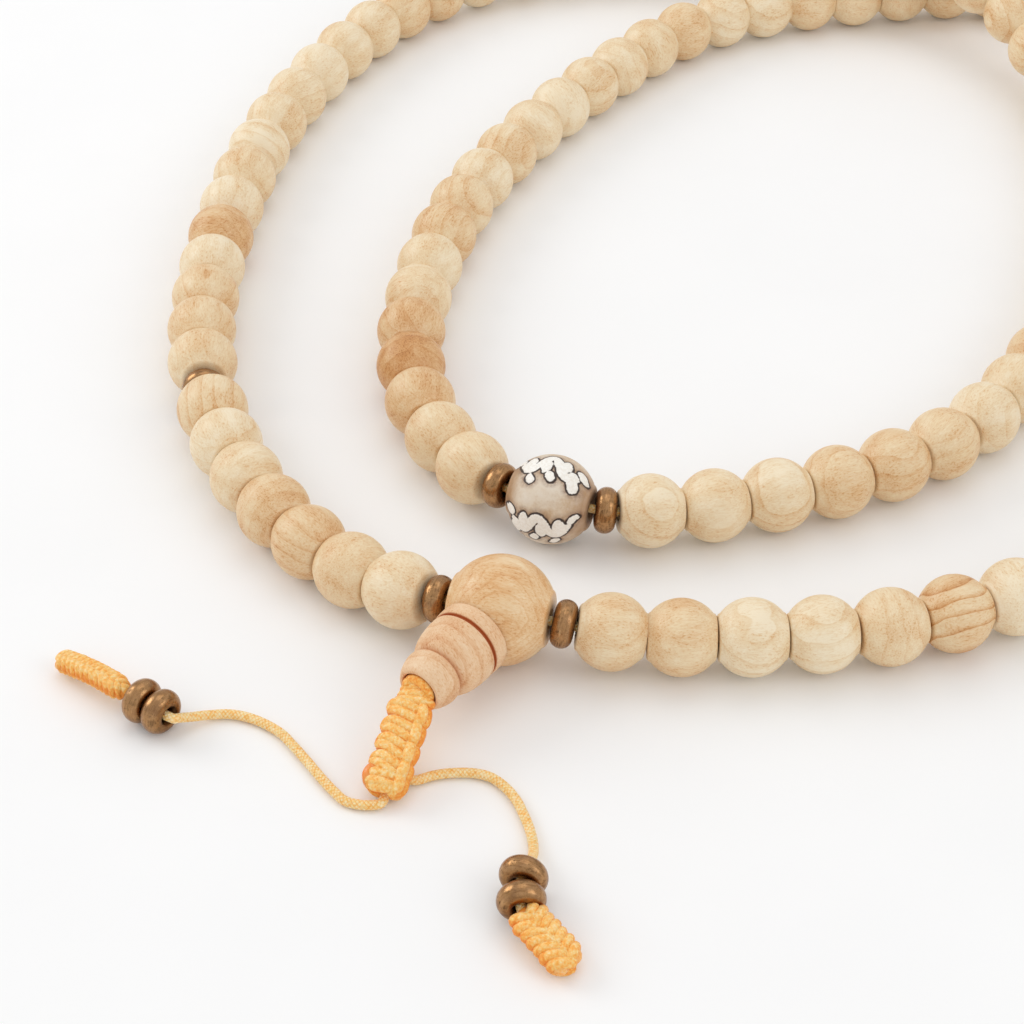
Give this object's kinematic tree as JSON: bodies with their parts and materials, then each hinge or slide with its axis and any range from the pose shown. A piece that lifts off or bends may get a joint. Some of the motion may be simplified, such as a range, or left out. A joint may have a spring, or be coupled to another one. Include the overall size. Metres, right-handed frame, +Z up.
{
  "type": "mala prayer beads",
  "caption": "Wooden prayer bead strand laid in a double loop, with a guru and tower bead, a carved marker bead, bronze spacers and knotted cord tails.",
  "frame": {"origin": "centre of the strand's footprint on the surface it lies on, with the free tails left out", "axes": "+Z up; +Y across the double loop's long way, away from the guru bead and its tower; +X to the right as the guru bead faces the viewer"},
  "size_m": [0.1891, 0.2366, 0.0207],
  "materials": {
    "bead_wood": "polished pale hardwood, satin",
    "guru_wood": "polished tan hardwood, satin",
    "tower_wood": "bare turned hardwood, nearly matt",
    "carved_bone": null,
    "bronze": "antique bronze with dark patina",
    "cord": "braided yellow-orange nylon cord"
  },
  "bodies": {
    "strand": {"strand_cord": "cord", "guru_bead": "guru_wood", "beads_008_015": "bead_wood", "beads_016_023": "bead_wood", "beads_024_031": "bead_wood", "beads_032_039": "bead_wood", "beads_040_047": "bead_wood", "beads_062_069": "bead_wood", "beads_070_077": "bead_wood", "beads_078_085": "bead_wood", "beads_086_093": "bead_wood", "beads_094_101": "bead_wood"},
    "spacer_guru_left": {"spacer_guru_left": "bronze"},
    "bead_001": {"bead_001": "bead_wood"},
    "bead_002": {"bead_002": "bead_wood"},
    "bead_003": {"bead_003": "bead_wood"},
    "bead_004": {"bead_004": "bead_wood"},
    "bead_005": {"bead_005": "bead_wood"},
    "bead_006": {"bead_006": "bead_wood"},
    "bead_007": {"bead_007": "bead_wood"},
    "spacer_seventh_left": {"spacer_seventh_left": "bronze"},
    "bead_048": {"bead_048": "bead_wood"},
    "bead_049": {"bead_049": "bead_wood"},
    "bead_050": {"bead_050": "bead_wood"},
    "bead_051": {"bead_051": "bead_wood"},
    "bead_052": {"bead_052": "bead_wood"},
    "bead_053": {"bead_053": "bead_wood"},
    "bead_054": {"bead_054": "bead_wood"},
    "spacer_marker_right": {"spacer_marker_right": "bronze"},
    "spacer_marker_left": {"spacer_marker_left": "bronze"},
    "bead_055": {"bead_055": "bead_wood"},
    "bead_056": {"bead_056": "bead_wood"},
    "bead_057": {"bead_057": "bead_wood"},
    "bead_058": {"bead_058": "bead_wood"},
    "bead_059": {"bead_059": "bead_wood"},
    "bead_060": {"bead_060": "bead_wood"},
    "bead_061": {"bead_061": "bead_wood"},
    "spacer_seventh_right": {"spacer_seventh_right": "bronze"},
    "bead_102": {"bead_102": "bead_wood"},
    "bead_103": {"bead_103": "bead_wood"},
    "bead_104": {"bead_104": "bead_wood"},
    "bead_105": {"bead_105": "bead_wood"},
    "bead_106": {"bead_106": "bead_wood"},
    "bead_107": {"bead_107": "bead_wood"},
    "bead_108": {"bead_108": "bead_wood"},
    "spacer_guru_right": {"spacer_guru_right": "bronze"},
    "marker_bead": {"marker_bead": "carved_bone"},
    "tower_stem": {"tower_cord": "cord"},
    "tower": {"tower_bead": "tower_wood"},
    "knot_stem": {"knot_cord": "cord"},
    "tail": {"sliding_knot": "cord", "tail_cord_left": "cord", "tail_cord_right": "cord", "tail_end_left": "cord", "tail_end_right": "cord"},
    "tail_spacer_left_inner": {"tail_spacer_left_inner": "bronze"},
    "tail_spacer_left_outer": {"tail_spacer_left_outer": "bronze"},
    "tail_spacer_right_inner": {"tail_spacer_right_inner": "bronze"},
    "tail_spacer_right_outer": {"tail_spacer_right_outer": "bronze"}
  },
  "joints": [
    {"name": "tower_swing", "type": "hinge", "parent": "strand", "child": "tower_stem", "pos_m": [-0.04207, -0.07837, 0.00704], "axis": [0, 0, 1], "range_deg": [-2, 8]},
    {"name": "knot_swing", "type": "hinge", "parent": "tower_stem", "child": "knot_stem", "pos_m": [-0.05184, -0.09242, 0.00679], "axis": [0, 0, 1], "range_deg": [-20, 6]},
    {"name": "knot_slide", "type": "slide", "parent": "knot_stem", "child": "tail", "axis": [-0.253, -0.901, -0.3524], "range_m": [0, 0.003]},
    {"name": "tower_spin", "type": "hinge", "parent": "tower_stem", "child": "tower", "pos_m": [-0.05184, -0.09242, 0.00679], "axis": [-0.5708, -0.8209, -0.0146], "continuous": true},
    {"name": "marker_bead_spin", "type": "hinge", "parent": "strand", "child": "marker_bead", "pos_m": [-0.03546, -0.0557, 0.00606], "axis": [-0.94, 0.3413, 0.0024], "continuous": true},
    {"name": "spacer_guru_left_spin", "type": "hinge", "parent": "strand", "child": "spacer_guru_left", "pos_m": [-0.04979, -0.07599, 0.00663], "axis": [-0.916, 0.3814, -0.1241], "continuous": true},
    {"name": "spacer_seventh_left_spin", "type": "hinge", "parent": "strand", "child": "spacer_seventh_left", "pos_m": [-0.08379, -0.0295, 0.00504], "axis": [-0.2254, 0.9743, 0], "continuous": true},
    {"name": "spacer_marker_right_spin", "type": "hinge", "parent": "strand", "child": "spacer_marker_right", "pos_m": [-0.0284, -0.05779, 0.00591], "axis": [-0.9945, 0.0614, 0.0852], "continuous": true},
    {"name": "spacer_marker_left_spin", "type": "hinge", "parent": "strand", "child": "spacer_marker_left", "pos_m": [-0.04221, -0.05276, 0.00597], "axis": [-0.7981, 0.5993, -0.0626], "continuous": true},
    {"name": "spacer_seventh_right_spin", "type": "hinge", "parent": "strand", "child": "spacer_seventh_right", "pos_m": [0.02848, -0.07147, 0.00504], "axis": [-0.9199, -0.3922, 0], "continuous": true},
    {"name": "spacer_guru_right_spin", "type": "hinge", "parent": "strand", "child": "spacer_guru_right", "pos_m": [-0.03425, -0.08033, 0.00647], "axis": [-0.974, 0.1766, 0.1421], "continuous": true},
    {"name": "tail_spacer_left_inner_spin", "type": "hinge", "parent": "tail", "child": "tail_spacer_left_inner", "pos_m": [-0.08307, -0.09204, 0.00292], "axis": [-0.8052, 0.5929, 0], "continuous": true},
    {"name": "tail_spacer_left_outer_spin", "type": "hinge", "parent": "tail", "child": "tail_spacer_left_outer", "pos_m": [-0.08557, -0.0902, 0.00292], "axis": [-0.8052, 0.5929, 0], "continuous": true},
    {"name": "tail_spacer_right_inner_spin", "type": "hinge", "parent": "tail", "child": "tail_spacer_right_inner", "pos_m": [-0.03937, -0.11817, 0.00299], "axis": [-0.2519, -0.9678, 0], "continuous": true},
    {"name": "tail_spacer_right_outer_spin", "type": "hinge", "parent": "tail", "child": "tail_spacer_right_outer", "pos_m": [-0.03964, -0.12162, 0.00292], "axis": [0.1038, -0.9938, -0.0386], "continuous": true},
    {"name": "bead_001_spin", "type": "hinge", "parent": "strand", "child": "bead_001", "pos_m": [-0.05464, -0.0733, 0.00578], "axis": [-0.8413, 0.5159, -0.1617], "continuous": true},
    {"name": "bead_002_spin", "type": "hinge", "parent": "strand", "child": "bead_002", "pos_m": [-0.06117, -0.06868, 0.00506], "axis": [-0.7762, 0.6302, -0.018], "continuous": true},
    {"name": "bead_003_spin", "type": "hinge", "parent": "strand", "child": "bead_003", "pos_m": [-0.06703, -0.06314, 0.00501], "axis": [-0.673, 0.7396, 0.005], "continuous": true},
    {"name": "bead_004_spin", "type": "hinge", "parent": "strand", "child": "bead_004", "pos_m": [-0.07207, -0.05683, 0.00503], "axis": [-0.5732, 0.8194, 0.0012], "continuous": true},
    {"name": "bead_005_spin", "type": "hinge", "parent": "strand", "child": "bead_005", "pos_m": [-0.07628, -0.04993, 0.00504], "axis": [-0.4675, 0.884, 0], "continuous": true},
    {"name": "bead_006_spin", "type": "hinge", "parent": "strand", "child": "bead_006", "pos_m": [-0.07967, -0.04259, 0.00504], "axis": [-0.369, 0.9294, 0], "continuous": true},
    {"name": "bead_007_spin", "type": "hinge", "parent": "strand", "child": "bead_007", "pos_m": [-0.08229, -0.03494, 0.00504], "axis": [-0.2796, 0.9601, 0], "continuous": true},
    {"name": "bead_048_spin", "type": "hinge", "parent": "strand", "child": "bead_048", "pos_m": [0.02465, -0.03678, 0.00504], "axis": [-0.6817, -0.7317, 0], "continuous": true},
    {"name": "bead_049_spin", "type": "hinge", "parent": "strand", "child": "bead_049", "pos_m": [0.01818, -0.04261, 0.00504], "axis": [-0.7985, -0.602, 0], "continuous": true},
    {"name": "bead_050_spin", "type": "hinge", "parent": "strand", "child": "bead_050", "pos_m": [0.01081, -0.04723, 0.00504], "axis": [-0.8902, -0.4556, 0], "continuous": true},
    {"name": "bead_051_spin", "type": "hinge", "parent": "strand", "child": "bead_051", "pos_m": [0.00284, -0.05081, 0.00503], "axis": [-0.9317, -0.3632, -0.001], "continuous": true},
    {"name": "bead_052_spin", "type": "hinge", "parent": "strand", "child": "bead_052", "pos_m": [-0.00545, -0.05358, 0.00502], "axis": [-0.9628, -0.2701, -0.0017], "continuous": true},
    {"name": "bead_053_spin", "type": "hinge", "parent": "strand", "child": "bead_053", "pos_m": [-0.01392, -0.05575, 0.00504], "axis": [-0.9742, -0.2256, 0.0069], "continuous": true},
    {"name": "bead_054_spin", "type": "hinge", "parent": "strand", "child": "bead_054", "pos_m": [-0.02249, -0.05731, 0.00542], "axis": [-0.988, -0.1318, 0.0802], "continuous": true},
    {"name": "bead_055_spin", "type": "hinge", "parent": "strand", "child": "bead_055", "pos_m": [-0.04603, -0.04839, 0.00548], "axis": [-0.5959, 0.7979, -0.0909], "continuous": true},
    {"name": "bead_056_spin", "type": "hinge", "parent": "strand", "child": "bead_056", "pos_m": [-0.05047, -0.04114, 0.00505], "axis": [-0.4421, 0.8969, -0.0094], "continuous": true},
    {"name": "bead_057_spin", "type": "hinge", "parent": "strand", "child": "bead_057", "pos_m": [-0.05349, -0.03317, 0.00502], "axis": [-0.2643, 0.9644, 0.002], "continuous": true},
    {"name": "bead_058_spin", "type": "hinge", "parent": "strand", "child": "bead_058", "pos_m": [-0.05506, -0.02478, 0.00503], "axis": [-0.1005, 0.9949, 0.0005], "continuous": true},
    {"name": "bead_059_spin", "type": "hinge", "parent": "strand", "child": "bead_059", "pos_m": [-0.05529, -0.01623, 0.00504], "axis": [0.0454, 0.999, 0], "continuous": true},
    {"name": "bead_060_spin", "type": "hinge", "parent": "strand", "child": "bead_060", "pos_m": [-0.05451, -0.0077, 0.00504], "axis": [0.1362, 0.9907, 0], "continuous": true},
    {"name": "bead_061_spin", "type": "hinge", "parent": "strand", "child": "bead_061", "pos_m": [-0.05307, 0.00075, 0.00504], "axis": [0.2002, 0.9797, 0], "continuous": true},
    {"name": "bead_102_spin", "type": "hinge", "parent": "strand", "child": "bead_102", "pos_m": [0.02295, -0.07375, 0.00504], "axis": [-0.9264, -0.3764, 0], "continuous": true},
    {"name": "bead_103_spin", "type": "hinge", "parent": "strand", "child": "bead_103", "pos_m": [0.01478, -0.07687, 0.00504], "axis": [-0.9414, -0.3372, 0], "continuous": true},
    {"name": "bead_104_spin", "type": "hinge", "parent": "strand", "child": "bead_104", "pos_m": [0.0064, -0.07931, 0.00503], "axis": [-0.9755, -0.22, -0.0007], "continuous": true},
    {"name": "bead_105_spin", "type": "hinge", "parent": "strand", "child": "bead_105", "pos_m": [-0.00222, -0.08067, 0.00502], "axis": [-0.9959, -0.0909, -0.0018], "continuous": true},
    {"name": "bead_106_spin", "type": "hinge", "parent": "strand", "child": "bead_106", "pos_m": [-0.01095, -0.08121, 0.00503], "axis": [-0.9994, -0.0332, 0.0031], "continuous": true},
    {"name": "bead_107_spin", "type": "hinge", "parent": "strand", "child": "bead_107", "pos_m": [-0.01969, -0.08126, 0.00506], "axis": [-0.9998, 0.0204, 0.0053], "continuous": true},
    {"name": "bead_108_spin", "type": "hinge", "parent": "strand", "child": "bead_108", "pos_m": [-0.02838, -0.08089, 0.00567], "axis": [-0.9891, 0.0642, 0.1327], "continuous": true}
  ]
}
